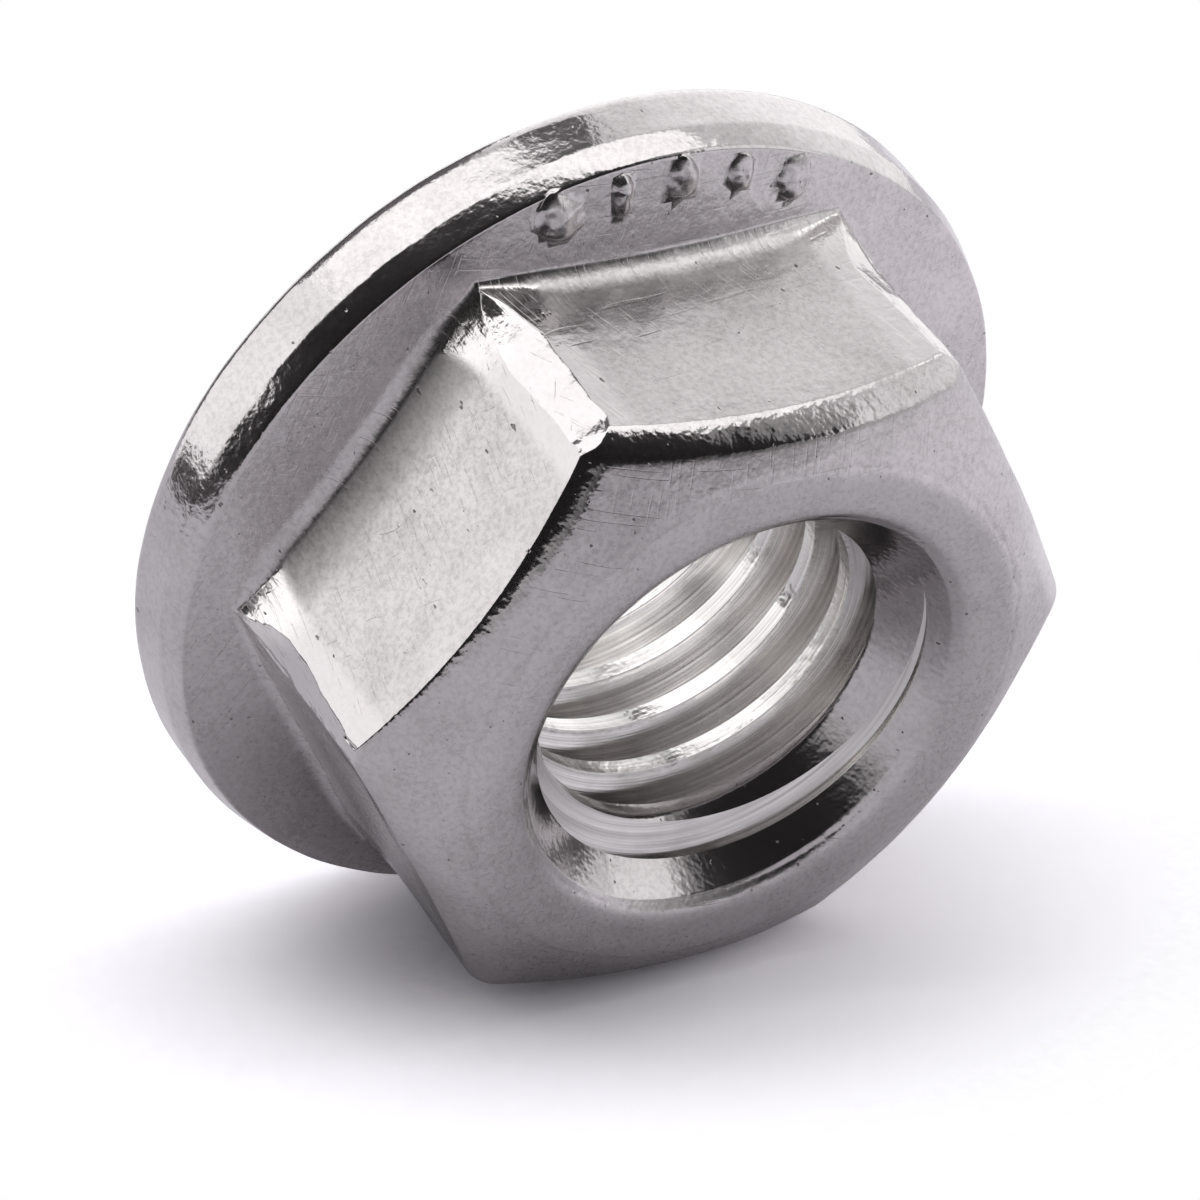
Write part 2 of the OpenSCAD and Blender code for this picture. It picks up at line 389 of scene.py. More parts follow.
def markTree():
    tree, given = newTree("flangeMarks", {
        "Count": "Int", "Radius": "Float", "Height": "Float", "From": "Float", "Sweep": "Float",
        "Lean": "Float", "Dents": "Float", "Dent Depth": "Float", "Smallest": "Vector", "Largest": "Vector",
        "Seed": "Int", "Material": "Material"})
    arc = addNode(tree, "GeometryNodeCurveArc", None, {
        "Resolution": 64, "Radius": given["Radius"], "Start Angle": given["From"],
        "Sweep Angle": given["Sweep"]}, "Curve")
    points = addNode(tree, "GeometryNodeCurveToPoints", {"mode": "COUNT"}, {
        "Curve": arc, "Count": given["Count"]}, "Points")
    spot = addNode(tree, "GeometryNodeInputPosition", output="Position")
    parts = addNode(tree, "ShaderNodeSeparateXYZ", None, {"Vector": spot}).outputs
    azimuth = addNode(tree, "ShaderNodeMath", {"operation": "ARCTAN2"}, {
        0: parts["Y"], 1: parts["X"]}, "Value")
    turn = addNode(tree, "ShaderNodeCombineXYZ", None, {"Y": given["Lean"], "Z": azimuth}, "Vector")
    size = addNode(tree, "FunctionNodeRandomValue", {"data_type": "FLOAT_VECTOR"}, {
        "Min": given["Smallest"], "Max": given["Largest"], "Seed": given["Seed"]}, "Value")
    mound = addNode(tree, "GeometryNodeMeshUVSphere", None, {
        "Segments": 36, "Rings": 18, "Radius": 1.0}, "Mesh")
    placed = addNode(tree, "GeometryNodeInstanceOnPoints", None, {
        "Points": points, "Instance": mound, "Rotation": turn, "Scale": size}, "Instances")
    lift = addNode(tree, "ShaderNodeCombineXYZ", None, {"Z": given["Height"]}, "Vector")
    raised = addNode(tree, "GeometryNodeTransform", None, {
        "Geometry": placed, "Translation": lift}, "Geometry")
    real = addNode(tree, "GeometryNodeRealizeInstances", None, {"Geometry": raised}, "Geometry")
    dented = addNode(tree, "ShaderNodeTexNoise", None, {
        "Vector": spot, "Scale": given["Dents"], "Detail": 2.0}, "Color")
    centred = addNode(tree, "ShaderNodeVectorMath", {"operation": "SUBTRACT"}, {
        0: dented, 1: (0.5, 0.5, 0.5)}, "Vector")
    shift = addNode(tree, "ShaderNodeVectorMath", {"operation": "SCALE"}, {
        0: centred, "Scale": given["Dent Depth"]}, "Vector")
    ragged = addNode(tree, "GeometryNodeSetPosition", None, {"Geometry": real, "Offset": shift}, "Geometry")
    smooth = addNode(tree, "GeometryNodeSetShadeSmooth", None, {0: ragged}, 0)
    finish = addNode(tree, "GeometryNodeSetMaterial", None, {
        0: smooth, "Material": given["Material"]}, "Geometry")
    addNode(tree, "NodeGroupOutput", None, {"Geometry": finish})
    return tree


def marksMesh(size, body, material):
    slope = math.tan(math.radians(body["coneAngle"]))
    surface = body["rimH"] + (body["flangeR"] - body["rimInset"] - size["middleR"]) * slope
    thick = size["height"] + size["sunk"]
    return meshFromTree("flange_marks", markTree(), {
        "Count": size["count"], "Radius": size["middleR"] * mm, "Height": (surface - size["sunk"]) * mm,
        "From": math.radians(size["from"]), "Sweep": math.radians(size["sweep"]),
        "Lean": math.radians(body["coneAngle"]),
        "Dents": size["dentsPerMm"] / mm, "Dent Depth": size["dentDepth"] * mm,
        "Smallest": tuple(v * mm for v in size["narrowest"] + (thick,)),
        "Largest": tuple(v * mm for v in size["widest"] + (thick,)),
        "Seed": size["seed"], "Material": material})


# camera: a long lens, level with a floor that the flange's rim and the crown's shoulder lie on
view = {                                     # mm
    "place": (127.211, 16.424, 105.824),
    "forward": (-0.77566, -0.09540, -0.62390),
    "up": (0.56302, -0.55135, -0.61565),
    "lens": 270, "sensor": 36, "clipStart": 10,
}
forward = Vector(view["forward"]).normalized()
camRight = forward.cross(Vector(view["up"])).normalized()
camUp = camRight.cross(forward)
cameraData = bpy.data.cameras.new("camera")
cameraData.lens, cameraData.sensor_width = view["lens"], view["sensor"]
cameraData.clip_start = view["clipStart"] * mm
camera = addObject("camera", cameraData)
camera.matrix_world = Matrix.Translation(Vector(view["place"]) * mm) @ Matrix(
    (camRight, camUp, -forward)).transposed().to_4x4()
bpy.context.scene.camera = camera


def seen(x, y, c):                           # a point or direction given as right, up and towards the camera
    return camRight * x + camUp * y - forward * c


# a metal and its tree, the place on the nut in mm, that place without its height, and the radius there
def newSteel(name):
    material = bpy.data.materials.new(name)
    material.use_nodes = True
    tree = material.node_tree
    tree.nodes["Principled BSDF"].inputs["Metallic"].default_value = 1.0
    place = addNode(tree, "ShaderNodeTexCoord", output="Object")
    place = addNode(tree, "ShaderNodeVectorMath", {"operation": "SCALE"}, {
        0: place, "Scale": 1 / mm}, "Vector")
    flatPlace = addNode(tree, "ShaderNodeVectorMath", {"operation": "MULTIPLY"}, {
        0: place, 1: (1, 1, 0)}, "Vector")
    radius = addNode(tree, "ShaderNodeVectorMath", {"operation": "LENGTH"}, {0: flatPlace}, "Value")
    return material, tree, place, flatPlace, radius


def finishSteel(tree, height, colour, rough):     # height in mm
    shader = tree.nodes["Principled BSDF"]
    bump = addNode(tree, "ShaderNodeBump", None, {
        "Height": height, "Distance": mm, "Strength": 1.0}, "Normal")
    for socket, name in ((bump, "Normal"), (colour, "Base Color"), (rough, "Roughness")):
        tree.links.new(socket, shader.inputs[name])


forged = {                                   # cold-forged stainless steel, tumbled: satin, pale, faintly warm
    "steel": "#d0cbcc", "fresh": "#e8e4e3", "stain": "#918c8c", "pit": "#4b4747",
    "roughness": 0.24, "cloudRough": 0.14, "speckRough": 0.05,   # all over; the next line is for single parts
    "polishedRim": 0.13, "tornFoot": 0.36, "tornFlat": 0.46, "rolledEdge": 0.12, "sunk": 0.17,
    "cloudStain": 0.18, "speckStain": 0.3, "flatStain": 0.1, "ringStain": 0.12, "pitStain": 0.75,
    "cleanBand": 0.7,                        # the blunt corners are cleaner by this much
    # features per mm and height in mm; the finest grain is 0.05 mm, drawn a little coarser so that it shows
    "relief": ((17, 0.0016), (6, 0.0055), (1.8, 0.012)), "calmMouth": 0.65, "calmPolish": 0.9,
    "mottlePerMm": 0.7, "specksPerMm": 9,
    "edgePerMm": 7, "edgeHeight": 0.007,     # dents where the crown and the rim are rolled
    "tearsPerMm": (9, 9, 1.1), "tearHeight": 0.014,      # drawn out upwards
    "scratchTurns": (0.35, 2.2), "scratchesPerMm": (21, 0.55, 1.2), "scratchDepth": 0.0022,
    "pitsPerMm": 8, "pitLength": 2.2, "pitDepth": 0.008, "pitsGathered": 0.12,
    # a faint ring that the die's insert left on the crown, and how far it fades inwards and outwards
    "ringR": 5.66, "ringWander": 0.4, "ringDepth": 0.007, "ringFade": (0.09, 0.16),
    # the flat on one side is torn and dull near its foot, and the roll loses its polish towards another
    "tornTowards": (0.866, 0.5, 0), "tornFrom": 6.3, "tornTo": 6.45,
    "dulledTowards": (0.26, -0.97, 0), "dulledFrom": 4.6, "dulledTo": 6.6,
}


def forgedStainless(look):
    material, tree, place, _, radius = newSteel("forgedStainlessSteel")
    normal = addNode(tree, "ShaderNodeNewGeometry", output="Normal")
    tilt = addNode(tree, "ShaderNodeSeparateXYZ", None, {"Vector": normal}, "Z")
    value = {                                # sockets by name
        "radius": radius, "z": addNode(tree, "ShaderNodeSeparateXYZ", None, {"Vector": place}, "Z"),
        "steepness": addNode(tree, "ShaderNodeMath", {"operation": "ABSOLUTE"}, {0: tilt}, "Value")}
    for name, towards in (("tornWay", "tornTowards"), ("dulledWay", "dulledTowards")):
        value[name] = addNode(tree, "ShaderNodeVectorMath", {"operation": "DOT_PRODUCT"}, {
            0: place, 1: look[towards]}, "Value")

    # noises: a place that is turned and stretched, then scale, detail, roughness
    pit, (turnA, turnB) = look["pitsPerMm"], look["scratchTurns"]
    drawn = {"plain": place}
    for name, turn, spread in (
            ("tears", None, look["tearsPerMm"]), ("dashes", None, (pit, pit, pit / look["pitLength"])),
            ("scratchA", turnA, look["scratchesPerMm"]), ("scratchB", turnB, look["scratchesPerMm"])):
        turned = place if turn is None else addNode(tree, "ShaderNodeMapping", None, {
            "Vector": place, "Location": (turn, 0, 0), "Rotation": (turn, 0.2 * turn, turn * 1.7)}, "Vector")
        drawn[name] = addNode(tree, "ShaderNodeVectorMath", {"operation": "MULTIPLY"}, {
            0: turned, 1: spread}, "Vector")
    for name, vector, scale, detail, roughness in (
            ("mottle", "plain", look["mottlePerMm"], 3.0, 0.6),
            ("specks", "plain", look["specksPerMm"], 2.0, 0.7),
            ("dents", "plain", look["edgePerMm"], 1.0, 0.5),
            ("tears", "tears", 1.0, 2.0, 0.6), ("dashes", "dashes", 1.0, 1.0, 0.5),
            ("scratchA", "scratchA", 1.0, 0.0, 0.5), ("scratchB", "scratchB", 1.0, 0.0, 0.5)):
        value[name] = addNode(tree, "ShaderNodeTexNoise", None, {
            "Vector": drawn[vector], "Scale": scale, "Detail": detail, "Roughness": roughness}, "Fac")
    for name, share, rest in (
            ("wandering", look["ringWander"], "radius"), ("gathered", look["pitsGathered"], "dashes")):
        value[name] = addNode(tree, "ShaderNodeMath", {"operation": "MULTIPLY_ADD"}, {
            0: value["mottle"], 1: share, 2: value[rest]}, "Value")

    # soft steps: from one value to another, and what they give at either end
    ring = look["ringR"] + look["ringWander"] / 2
    fadeIn, fadeOut = look["ringFade"]
    for name, source, low, high, toLow, toHigh in (
            ("onRim", "radius", 8.33, 8.4, 0, 1), ("withinRim", "radius", 8.2, 8.0, 0, 1),
            ("atCorner", "radius", 7.0, 7.12, 0, 1), ("offBore", "radius", 5.6, 6.0, 0, 1),
            ("nearBore", "radius", 4.62, 4.48, 0, 1),
            ("steep", "steepness", 0.45, 0.25, 0, 1), ("tilted", "steepness", 0.86, 0.78, 0, 1),
            ("low", "z", 3.4, 2.5, 0, 1), ("lower", "z", 3.9, 3.0, 0, 1), ("tearing", "z", 3.6, 2.5, 0.1, 1),
            ("rolledRim", "z", 1.1, 1.3, 0, 0.45),
            ("upper", "z", 5.5, 6.0, 0, 1), ("nearCrown", "z", 6.0, 6.3, 0, 1),
            ("tornSide", "tornWay", look["tornFrom"], look["tornTo"], 0, 1),
            ("dulledSide", "dulledWay", look["dulledFrom"], look["dulledTo"], 0, 1),
            ("ringInside", "wandering", ring - fadeIn, ring, 0, 1),
            ("ringOutside", "wandering", ring + fadeOut, ring, 0, 1),
            ("cloud", "mottle", 0.35, 0.72, 0, 1), ("speck", "specks", 0.35, 0.75, 0, 1),
            ("pits", "gathered", 0.81, 0.88, 0, 1),
            ("lineA", "scratchA", 0.7, 0.76, 0, 1), ("lineB", "scratchB", 0.7, 0.76, 0, 1)):
        value[name] = addNode(tree, "ShaderNodeMapRange", {"interpolation_type": "SMOOTHSTEP"}, {
            "Value": value[source], "From Min": low, "From Max": high,
            "To Min": toLow, "To Max": toHigh}, "Result")
    value["relief"] = 0.0
    for scale, tall in look["relief"]:
        layer = addNode(tree, "ShaderNodeTexNoise", None, {
            "Vector": place, "Scale": scale, "Detail": 1.0}, "Fac")
        value["relief"] = addNode(tree, "ShaderNodeMath", {"operation": "MULTIPLY_ADD"}, {
            0: layer, 1: tall, 2: value["relief"]}, "Value")

    # sums, each of two or three values
    leastRough = look["roughness"] - look["cloudRough"] / 2
    for name, operation, *terms in (
            # where on the nut
            ("onSide", "MULTIPLY", "steep", "withinRim"), ("onSide", "MULTIPLY", "onSide", "offBore"),
            ("foot", "MULTIPLY", "onSide", "low"), ("band", "MULTIPLY", "onSide", "atCorner"),
            ("torn", "MULTIPLY", "onSide", "lower"), ("torn", "MULTIPLY", "torn", "tornSide"),
            ("onEdge", "MULTIPLY", "tilted", "nearCrown"), ("inMouth", "MULTIPLY", "nearBore", "upper"),
            ("dull", "MULTIPLY", "onEdge", "dulledSide"), ("polishedEdge", "SUBTRACT", "onEdge", "dull"),
            ("rolledRim", "MULTIPLY", "onRim", "rolledRim"), ("rolled", "MAXIMUM", "onEdge", "rolledRim"),
            ("ripped", "MAXIMUM", "foot", "torn"),
            ("smooth", "MAXIMUM", "inMouth", "onEdge"), ("smooth", "MAXIMUM", "smooth", "onRim"),
            # height in mm
            ("calm", "MULTIPLY_ADD", "inMouth", -look["calmMouth"], 1.0),
            ("height", "MULTIPLY", "relief", "calm"), ("dents", "MULTIPLY", "dents", look["edgeHeight"]),
            ("height", "MULTIPLY_ADD", "dents", "rolled", "height"),
            ("tearing", "MULTIPLY", "onSide", "tearing"), ("tears", "MULTIPLY", "tears", look["tearHeight"]),
            ("height", "MULTIPLY_ADD", "tears", "tearing", "height"),
            ("calm", "MULTIPLY_ADD", "smooth", -look["calmPolish"], 1.0),
            ("lines", "MAXIMUM", "lineA", "lineB"), ("lines", "MULTIPLY", "lines", "calm"),
            ("height", "MULTIPLY_ADD", "lines", -look["scratchDepth"], "height"),
            ("height", "MULTIPLY_ADD", "pits", -look["pitDepth"], "height"),
            ("ring", "MULTIPLY", "ringInside", "ringOutside"), ("ring", "MULTIPLY", "ring", "upper"),
            ("height", "MULTIPLY_ADD", "ring", -look["ringDepth"], "height"),
            # how stained
            ("stained", "MULTIPLY", "cloud", look["cloudStain"]),
            ("stained", "MULTIPLY_ADD", "speck", look["speckStain"], "stained"),
            ("stained", "MULTIPLY_ADD", "ring", look["ringStain"], "stained"),
            ("flat", "SUBTRACT", "onSide", "band"),
            ("stained", "MULTIPLY_ADD", "flat", look["flatStain"], "stained"),
            ("calm", "MULTIPLY_ADD", "band", -look["cleanBand"], 1.0),
            ("stained", "MULTIPLY", "stained", "calm"), ("pitted", "MULTIPLY", "pits", look["pitStain"]),
            # roughness
            ("rough", "MULTIPLY_ADD", "mottle", look["cloudRough"], leastRough),
            ("rough", "MULTIPLY_ADD", "speck", look["speckRough"], "rough")):
        value[name] = addNode(tree, "ShaderNodeMath", {"operation": operation}, {
            k: value[term] if isinstance(term, str) else term for k, term in enumerate(terms)}, "Value")
    rough = value["rough"]
    for name, level in (
            ("foot", "tornFoot"), ("torn", "tornFlat"), ("onRim", "polishedRim"), ("band", "polishedRim"),
            ("polishedEdge", "rolledEdge"), ("inMouth", "sunk")):
        rough = addNode(tree, "ShaderNodeMix", None, {0: value[name], 2: rough, 3: look[level]}, 0)
    colour = toLinear(look["steel"])
    for name, stain in (("ripped", "fresh"), ("stained", "stain"), ("pitted", "pit")):
        colour = addNode(tree, "ShaderNodeMix", {"data_type": "RGBA"}, {
            0: value[name], 6: colour, 7: toLinear(look[stain])}, 2)
    finishSteel(tree, value["height"], colour, rough)
    return material


# stainless steel that is cut after forging: bright, combed along the helix, galled on the crests
tapped = {
    "steel": "#eae8e7", "warm": "#b9b4b2", "warmShare": 0.75,
    "roughness": 0.19, "smoother": 0.08, "rougher": 0.1, "patchesPerMm": 1.1,
    "pitch": 1.25, "combPerMm": (31, 12), "combStretch": 0.4, "combHeight": 0.003,
    "crestR": 3.4, "gallPerMm": 6, "gallHeight": 0.02,
}


def cutThreadSteel(look):
    material, tree, place, flatPlace, radius = newSteel("cutThreadSteel")
    spot = addNode(tree, "ShaderNodeSeparateXYZ", None, {"Vector": place}).outputs
    azimuth = addNode(tree, "ShaderNodeMath", {"operation": "ARCTAN2"}, {0: spot["Y"], 1: spot["X"]}, "Value")
    rise = addNode(tree, "ShaderNodeMath", {"operation": "MULTIPLY_ADD"}, {
        0: azimuth, 1: -look["pitch"] / (2 * math.pi), 2: spot["Z"]}, "Value")
    inPitch = addNode(tree, "ShaderNodeMath", {"operation": "FLOORED_MODULO"}, {
        0: rise, 1: look["pitch"]}, "Value")
    lines = None
    for perMm in look["combPerMm"]:          # fine lines that follow the helix, a layer for each fineness
        steep = addNode(tree, "ShaderNodeMath", {"operation": "MULTIPLY"}, {0: inPitch, 1: perMm}, "Value")
        steep = addNode(tree, "ShaderNodeCombineXYZ", None, {"Z": steep}, "Vector")
        combed = addNode(tree, "ShaderNodeVectorMath", {"operation": "MULTIPLY_ADD"}, {
            0: flatPlace, 1: (look["combStretch"],) * 3, 2: steep}, "Vector")
        depth = addNode(tree, "ShaderNodeMath", {"operation": "MULTIPLY"}, {0: radius, 1: perMm}, "Value")
        layer = addNode(tree, "ShaderNodeTexNoise", {"noise_dimensions": "4D"}, {
            "Vector": combed, "W": depth, "Scale": 1.0, "Detail": 0.0}, "Fac")
        if lines is not None:
            layer = addNode(tree, "ShaderNodeMix", None, {0: 0.5, 2: layer, 3: lines}, 0)
        lines = layer
    patch = addNode(tree, "ShaderNodeTexNoise", None, {
        "Vector": place, "Scale": look["patchesPerMm"], "Detail": 4.0}, "Fac")
    crest = addNode(tree, "ShaderNodeMapRange", {"interpolation_type": "SMOOTHSTEP"}, {
        "Value": radius, "From Min": look["crestR"] + 0.1, "From Max": look["crestR"]}, "Result")
    gall = addNode(tree, "ShaderNodeTexNoise", None, {
        "Vector": place, "Scale": look["gallPerMm"], "Detail": 1.0}, "Fac")
    for share in (crest, patch):
        gall = addNode(tree, "ShaderNodeMath", {"operation": "MULTIPLY"}, {0: gall, 1: share}, "Value")
    height = addNode(tree, "ShaderNodeMath", {"operation": "MULTIPLY"}, {
        0: lines, 1: look["combHeight"]}, "Value")
    height = addNode(tree, "ShaderNodeMath", {"operation": "MULTIPLY_ADD"}, {
        0: gall, 1: look["gallHeight"], 2: height}, "Value")
    warmth = addNode(tree, "ShaderNodeMapRange", None, {
        "Value": lines, "From Min": 0.38, "From Max": 0.68, "To Max": look["warmShare"]}, "Result")
    colour = addNode(tree, "ShaderNodeMix", {"data_type": "RGBA"}, {
        0: warmth, 6: toLinear(look["steel"]), 7: toLinear(look["warm"])}, 2)
    rough = addNode(tree, "ShaderNodeMapRange", None, {
        "Value": patch, "From Min": 0.3, "From Max": 0.7, "To Min": look["roughness"] - look["smoother"],
        "To Max": look["roughness"] + look["rougher"]}, "Result")
    finishSteel(tree, height, colour, rough)
    return material


# the nut: the body and its marks as one mesh, with the thread cut out of it
def sharpenThread(mesh, past):               # the tap leaves sharp edges, unlike the die
    work = bmesh.new()
    work.from_mesh(mesh)
    for edge in work.edges:
        if len(edge.link_faces) == 2 and any(face.material_index == 1 for face in edge.link_faces):
            edge.smooth = edge.calc_face_angle(0) < past
    work.to_mesh(mesh)
    work.free()


def buildNut():
    body = buildBodyMesh(nutBody)
    for material in (forgedStainless(forged), cutThreadSteel(tapped)):
        body.materials.append(material)
    piece = addObject("flange_nut_forged", body)
    marks = addObject("flange_marks", marksMesh(flangeMarks, nutBody, body.materials[0]))
    groove = addObject("thread_groove", grooveMesh(thread, body.materials[1]))
    for other, operation in ((marks, "UNION"), (groove, "DIFFERENCE")):
        step = piece.modifiers.new(other.name, "BOOLEAN")
        step.operation, step.solver, step.object = operation, "MANIFOLD", other
    whole = bpy.data.meshes.new_from_object(piece.evaluated_get(bpy.context.evaluated_depsgraph_get()))
    piece.modifiers.clear()
    piece.data = whole
    for other in (marks, groove):
        bpy.data.objects.remove(other)
    sharpenThread(whole, thread["sharpFrom"])
    print("nut", len(body.polygons), "faces before the thread,", len(whole.polygons), "after")
    return piece


nut = buildNut()
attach(nut, "root")
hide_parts("flange_nut")

# stage: a floor that gives way to white round the nut, with a painted shadow, painted light and painted shade
# in its colour, softboxes, dark cards and the world
stage = {                                    # mm
    "floorUp": (0.8172, -0.4718, -0.331),    # the floor's normal: the nut lies on its rim and shoulder
    "floorTouch": (8.542, 1.639),            # r and z of the rim's resting point
    "restSide": 150,                         # azimuth of the resting side
    "floorSize": 500, "paper": "#f3f1f7",
    "fadeFrom": 9, "fadeTo": 17,             # from the touch, where the floor gives way to white
    "lift": 1.85,                            # how much paler the camera sees it than the metal mirrors it
    "paintedShadowAt": (-4.9, 5.7, 4.9),             # painted shadow: the floor's colour is darkest here, between rim and crown
    "paintedShadowWithin": 5.5, "paintedShadowLevel": 0.45,
    "paintedLightFrom": 17, "paintedLightTo": 28, "paintedLightLevel": 1.45,        # painted light: the floor's colour is brighter to the far right
    "paintedFrontShadeFrom": 4, "paintedFrontShadeTo": 14, "paintedFrontShadeLevel": 0.92,      # painted shade: all rays but the camera's see the floor's colour darker towards the camera, so the metal mirrors it darker there
    "fibresPerMm": 3.5, "fibres": 0.07,      # the paper's uneven tone
}
side = math.radians(stage["restSide"])
touchR, touchZ = stage["floorTouch"]
touch = Vector((touchR * math.cos(side), touchR * math.sin(side), touchZ))
floorUp = Vector(stage["floorUp"]).normalized()


def addCard(name, corners):                  # a flat face with its place in its mesh, mm
    mesh = bpy.data.meshes.new(name)
    mesh.from_pydata([corner * mm for corner in corners], [], [tuple(range(len(corners)))])
    card = addObject(name, mesh)
    return card


def addPanel(name, centre, normal, up, width, height):   # a rectangle that faces along its normal
    normal = Vector(normal).normalized()
    across = Vector(up).cross(normal).normalized()
    upright = normal.cross(across)
    corners = [Vector(centre) + across * x * width / 2 + upright * y * height / 2
               for x, y in ((-1, -1), (1, -1), (1, 1), (-1, 1))]
    return addCard(name, corners)


def clearMaterial(name):
    material = bpy.data.materials.new(name)
    material.use_nodes = True
    material.node_tree.nodes.clear()
    return material, material.node_tree


def paleFloor(look):                         # matt paper, with a painted shadow, painted light and painted shade in its colour
    material, tree = clearMaterial("paleFloor")
    place = addNode(tree, "ShaderNodeTexCoord", output="Object")
    ray = addNode(tree, "ShaderNodeLightPath").outputs
    # distances from the touch, for the fade to white, and from the painted shadow's darkest point
    away, near = (
        addNode(tree, "ShaderNodeVectorMath", {"operation": "DISTANCE"}, {
            0: place, 1: tuple(spot)}, "Value")
        for spot in (touch * mm, Vector(look["paintedShadowAt"]) * mm))
    farSide, nearSide = (
        addNode(tree, "ShaderNodeVectorMath", {"operation": "DOT_PRODUCT"}, {
            0: place, 1: tuple(way)}, "Value")
        for way in (seen(1, 0, -0.5), seen(0, 0, 1)))
    lift, paintedFrontShade = (
        addNode(tree, "ShaderNodeMapRange", None, {
            "Value": ray["Is Camera Ray"], "To Min": a, "To Max": b}, "Result")
        for a, b in ((1.0, look["lift"]), (look["paintedFrontShadeLevel"], 1.0)))
    # gains on the floor's colour: the fade to white, a painted shadow between rim and crown, painted light to
    # the far right, and painted shade towards the camera for all rays but the camera's
    fade, paintedShadow, paintedLight, front = (
        addNode(tree, "ShaderNodeMapRange", {"interpolation_type": "SMOOTHSTEP"}, {
            "Value": source, "From Min": a * mm, "From Max": b * mm, "To Min": toA, "To Max": toB}, "Result")
        for source, a, b, toA, toB in (
            (away, look["fadeFrom"], look["fadeTo"], 0.0, 1.0),
            (near, 0, look["paintedShadowWithin"], look["paintedShadowLevel"], 1.0),
            (farSide, look["paintedLightFrom"], look["paintedLightTo"], 1.0, look["paintedLightLevel"]),
            (nearSide, look["paintedFrontShadeFrom"], look["paintedFrontShadeTo"], 1.0, paintedFrontShade)))
    fibres = addNode(tree, "ShaderNodeTexNoise", None, {
        "Vector": place, "Scale": look["fibresPerMm"] / mm, "Detail": 2.0}, "Fac")
    fibres = addNode(tree, "ShaderNodeMapRange", None, {
        "Value": fibres, "To Min": 1 - look["fibres"], "To Max": 1 + look["fibres"]}, "Result")
    colour = toLinear(look["paper"])[:3]
    for gain in (lift, paintedShadow, paintedLight, front, fibres):
        colour = addNode(tree, "ShaderNodeVectorMath", {"operation": "SCALE"}, {
            0: colour, "Scale": gain}, "Vector")
    shown = addNode(tree, "ShaderNodeMath", {"operation": "MULTIPLY"}, {
        0: fade, 1: ray["Is Camera Ray"]}, "Value")
    behind = addNode(tree, "ShaderNodeNewGeometry", output="Backfacing")
    clear = addNode(tree, "ShaderNodeMath", {"operation": "MAXIMUM"}, {0: shown, 1: behind}, "Value")
    pale = addNode(tree, "ShaderNodeBsdfDiffuse", None, {"Color": colour}, "BSDF")
    through = addNode(tree, "ShaderNodeBsdfTransparent", output="BSDF")
    mixed = addNode(tree, "ShaderNodeMixShader", None, {0: clear, 1: pale, 2: through}, "Shader")
    addNode(tree, "ShaderNodeOutputMaterial", None, {"Surface": mixed})
    return material


floor = addPanel("floor", touch, floorUp, camUp, stage["floorSize"], stage["floorSize"])
floor.data.materials.append(paleFloor(stage))

# middle, facing way and upward way as right, up, towards the camera; then width, height and level; mm
lightPanels = {
    "overhead_softbox": ((-50, 200, 85), (0, -1, 0), (0, 0, 1), 400, 150, 1.65),
    "left_softbox": ((-200, 85, -5), (1, 0, 0), (0, 1, 0), 200, 170, 1.36),
    "right_softbox": ((200, 120, 40), (-1, 0, 0), (0, 1, 0), 120, 200, 1.15),
}


def litCloth(name, level):
    material, tree = clearMaterial(name)
    glow = addNode(tree, "ShaderNodeEmission", None, {"Strength": level}, "Emission")
    addNode(tree, "ShaderNodeOutputMaterial", None, {"Surface": glow})
    return material


for name, (middle, facing, top, width, height, level) in lightPanels.items():
    panel = addPanel(name, seen(*middle), seen(*facing), seen(*top), width, height)
    panel.data.materials.append(litCloth(name, level))
    panel.visible_camera = False

darkCards = {                                # corners as right, up, towards the camera, mm, and their tone
    "front_flag": (((-240, -72, 120), (96, -12, 120), (222, 24, 120), (222, 62, 120), (160, 66, 120),
                    (134, 110, 120), (104, 165, 120), (72, 197, 120), (-36, 192, 120), (-90, 168, 120),
                    (-160, 134, 120), (-240, 116, 120)), "#141210"),
    "left_gap": (((-60, 5.5, -9.5), (-60, -0.4, -16), (-60, -9.6, 0), (-60, -17, 12), (-60, -12.8, 20.5),
                  (-60, -8, 14), (-60, -3.5, 7.5)), "#454241"),
    "left_low_flag": (((-60, -8, 14), (-60, 7, 29), (-60, 7, 45), (-60, -12.8, 45),
                       (-60, -12.8, 20.5)), "#2a2726"),
    "back_flag": (((-300, 199, -300), (-60, 199, -300), (-60, 199, 4), (-300, 199, 4)), "#8d8a8c"),
    "left_back_flag": (((-199, 198, -300), (-199, 198, -106), (-199, 20, -106), (-199, 20, -300)), "#9d9a9c"),
    "gap_flag": (((-30, 190, -30), (10, 190, -38), (16, 190, -4), (-22, 190, 9)), "#6e6b6b"),
}


def mattCard(name, tone):
    material = bpy.data.materials.new(name)
    material.use_nodes = True
    shader = material.node_tree.nodes["Principled BSDF"]
    shader.inputs["Base Color"].default_value = toLinear(tone)
    shader.inputs["Roughness"].default_value = 1.0
    return material


for name, (corners, tone) in darkCards.items():          # only the metal's mirror images show them
    card = addCard(name, [seen(*corner) for corner in corners])
    card.data.materials.append(mattCard(name, tone))
    card.visible_camera = card.visible_diffuse = card.visible_shadow = False

studio = {                                   # levels: what a polished face mirrors, and what lights the floor
    "side": 0.74, "behindGain": 0.3, "behindTopGain": 1.0, "fill": 0.35, "least": 0.02,
    "frontLoss": (0.2, 0.9), "lossBetween": (-0.5, 0.4),     # left and right of the camera
}


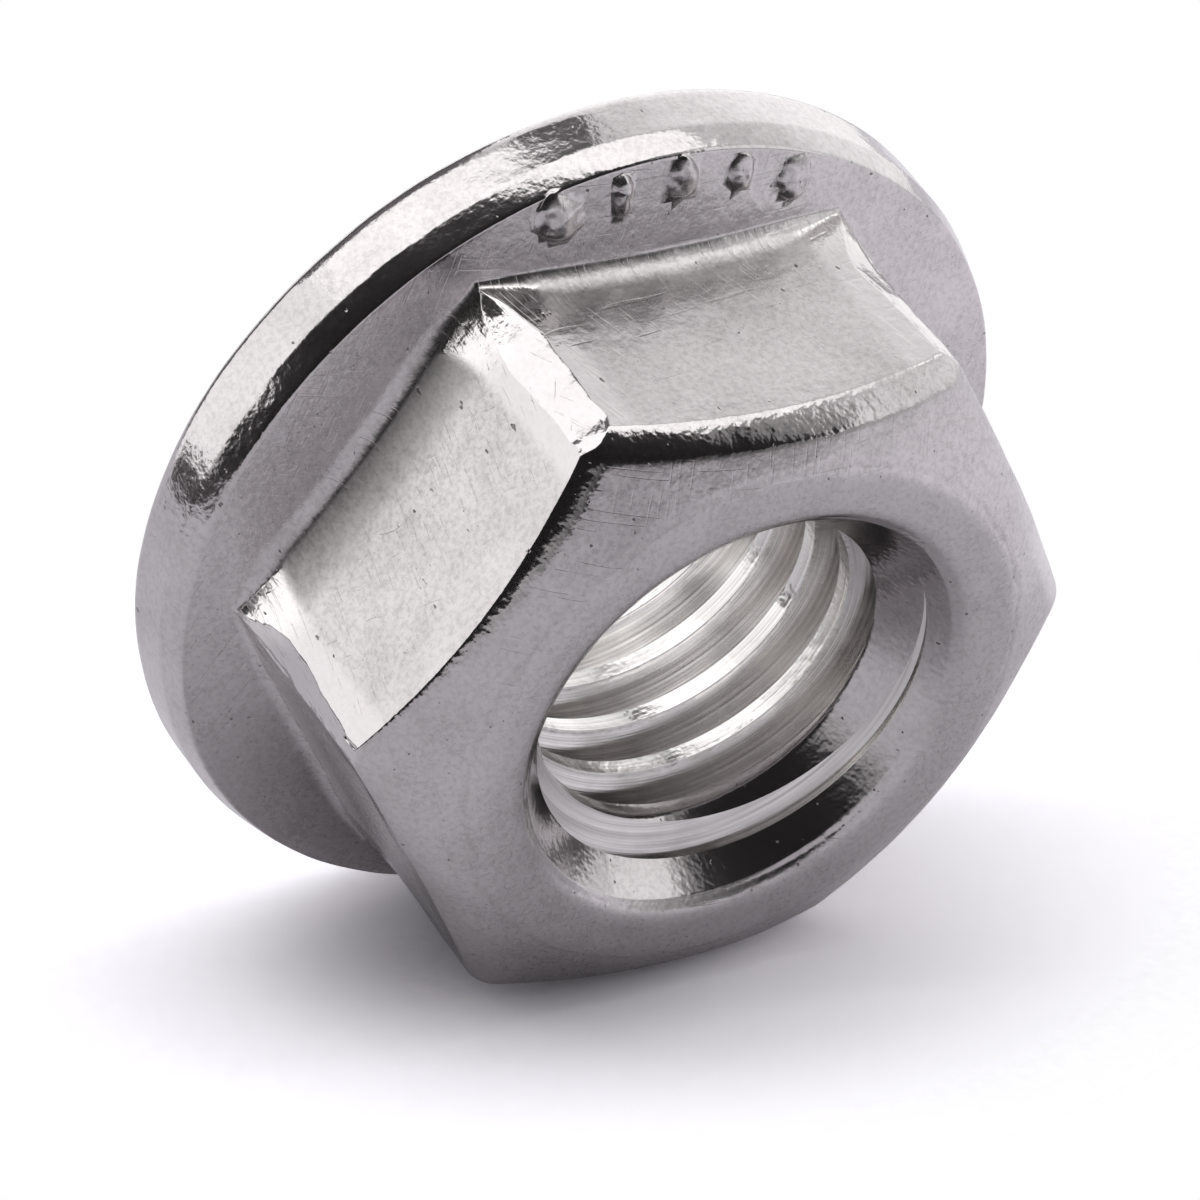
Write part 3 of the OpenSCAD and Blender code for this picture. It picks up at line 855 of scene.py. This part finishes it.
def studioWorld(levels):
    world = bpy.data.worlds.new("studio")
    world.use_nodes = True
    tree = world.node_tree
    tree.nodes.clear()
    ray = addNode(tree, "ShaderNodeLightPath").outputs
    looking = addNode(tree, "ShaderNodeTexCoord", output="Generated")
    front, above, across = (
        addNode(tree, "ShaderNodeVectorMath", {"operation": "DOT_PRODUCT"}, {
            0: looking, 1: tuple(way)}, "Value")
        for way in (seen(0, 0, 1), seen(0, 1, 0), seen(1, 0, 0)))
    high, ahead = (addNode(tree, "ShaderNodeMath", {"operation": "MAXIMUM"}, {0: way, 1: 0.0}, "Value")
                   for way in (above, front))
    back = addNode(tree, "ShaderNodeMath", {"operation": "SUBTRACT"}, {0: ahead, 1: front}, "Value")
    level = addNode(tree, "ShaderNodeMath", {"operation": "MULTIPLY_ADD"}, {
        0: high, 1: levels["behindTopGain"], 2: levels["behindGain"]}, "Value")
    level = addNode(tree, "ShaderNodeMath", {"operation": "MULTIPLY_ADD"}, {
        0: back, 1: level, 2: levels["side"]}, "Value")
    (left, right), (lossLeft, lossRight) = levels["lossBetween"], levels["frontLoss"]
    loss = addNode(tree, "ShaderNodeMapRange", None, {
        "Value": across, "From Min": left, "From Max": right,
        "To Min": -lossLeft, "To Max": -lossRight}, "Result")
    level = addNode(tree, "ShaderNodeMath", {"operation": "MULTIPLY_ADD"}, {
        0: ahead, 1: loss, 2: level}, "Value")
    level = addNode(tree, "ShaderNodeMath", {"operation": "MAXIMUM"}, {0: level, 1: levels["least"]}, "Value")
    level = addNode(tree, "ShaderNodeMapRange", None, {
        "Value": ray["Is Glossy Ray"], "To Min": levels["fill"], "To Max": level}, "Result")
    level = addNode(tree, "ShaderNodeMapRange", None, {
        "Value": ray["Is Camera Ray"], "To Min": level, "To Max": 1.0}, "Result")
    background = addNode(tree, "ShaderNodeBackground", None, {
        "Color": toLinear("#ffffff"), "Strength": level}, "Background")
    addNode(tree, "ShaderNodeOutputWorld", None, {"Surface": background})
    return world


bpy.context.scene.world = studioWorld(studio)
bpy.context.scene.view_settings.view_transform = "Standard"
print("stage ready")
